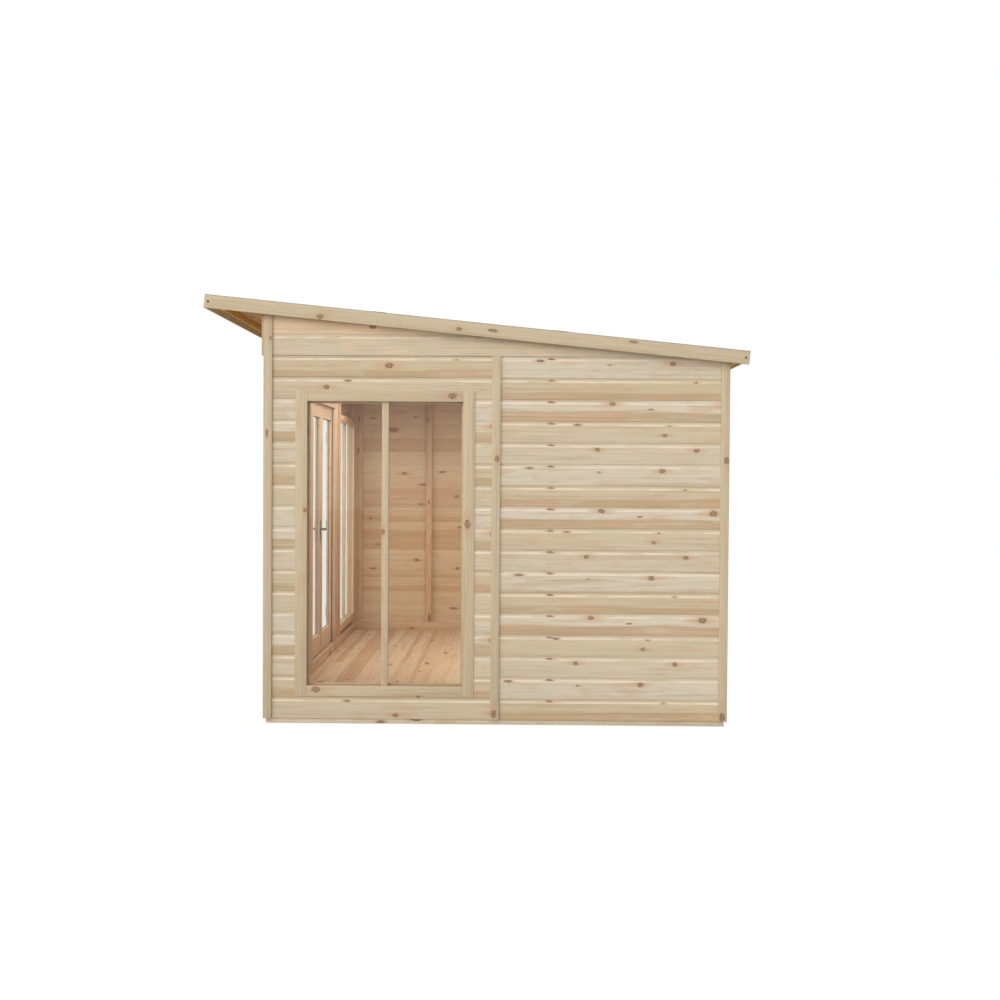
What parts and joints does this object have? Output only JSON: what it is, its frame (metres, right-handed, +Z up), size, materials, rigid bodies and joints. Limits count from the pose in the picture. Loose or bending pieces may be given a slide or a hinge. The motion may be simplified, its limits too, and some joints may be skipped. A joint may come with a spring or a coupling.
{
  "type": "summerhouse",
  "caption": "Timber garden summerhouse with a single-pitch roof, outward-opening glazed double doors, and tall fixed windows beside the doors and in one end wall.",
  "frame": {"origin": "centre of the floor on the ground, on the underside of the middle floor bearer", "axes": "+X along the length towards the end wall that has the window, -Y towards the front with the doors, +Z up"},
  "size_m": [3.754, 2.8349, 2.2412],
  "materials": {
    "cladding_boards": "planed dip-treated softwood shiplap",
    "cover_timber": "planed dip-treated softwood",
    "joinery_timber": "planed softwood joinery",
    "frame_timber": "planed softwood framing",
    "floor_boards": "planed softwood floorboards",
    "bearer_timber": "pressure-treated softwood",
    "roof_boards": "planed softwood roof boards",
    "roofing_felt": "mineral-surfaced bitumen felt",
    "window_glass": "clear glazing",
    "handle_metal": "satin",
    "hinge_steel": "zinc plated"
  },
  "bodies": {
    "root": {"back_cladding": "cladding_boards", "bargeboards": "cover_timber", "bottom_plates": "frame_timber", "corner_strips": "cover_timber", "door_head": "frame_timber", "door_posts": "joinery_timber", "door_sill": "joinery_timber", "door_stops": "joinery_timber", "fascias": "cover_timber", "floor_bearers": "bearer_timber", "floor_deck": "floor_boards", "front_cladding_left": "cladding_boards", "front_cladding_middle": "cladding_boards", "front_cladding_right": "cladding_boards", "front_left_window_frame": "joinery_timber", "front_right_window_frame": "joinery_timber", "gable_boards": "cladding_boards", "header_board": "cladding_boards", "header_rail": "frame_timber", "joint_strips": "cover_timber", "plain_end_cladding": "cladding_boards", "post_hinges": "hinge_steel", "rafters": "frame_timber", "rear_roof_rail": "frame_timber", "roof_battens": "frame_timber", "roof_deck": "roof_boards", "roof_felt": "roofing_felt", "top_plates": "frame_timber", "upper_studs": "frame_timber", "wall_studs": "frame_timber", "window_beads": "joinery_timber", "window_end_cladding": "cladding_boards", "window_end_window_frame": "joinery_timber", "window_glass": "window_glass", "window_rails": "frame_timber"},
    "left_door": {"left_door_beads": "joinery_timber", "left_door_frame": "joinery_timber", "left_door_glass": "window_glass", "left_door_hinges": "hinge_steel"},
    "right_door": {"lock_plates": "handle_metal", "right_door_beads": "joinery_timber", "right_door_frame": "joinery_timber", "right_door_glass": "window_glass", "right_door_hinges": "hinge_steel"},
    "lever": {"door_lever": "handle_metal"}
  },
  "joints": [
    {"name": "left_door_swing", "type": "hinge", "parent": "root", "child": "left_door", "pos_m": [-0.537, -1.2235, 0.944], "axis": [0, 0, -1], "range_deg": [0, 110]},
    {"name": "right_door_swing", "type": "hinge", "parent": "root", "child": "right_door", "pos_m": [0.537, -1.2235, 0.944], "axis": [0, 0, 1], "range_deg": [0, 110]},
    {"name": "lever_turn", "type": "hinge", "parent": "right_door", "child": "lever", "pos_m": [0.029, -1.2, 0.944], "axis": [0, 1, 0], "range_deg": [0, 40], "stiffness_Nm_per_rad": 1.5, "springref_deg": -17.19}
  ]
}
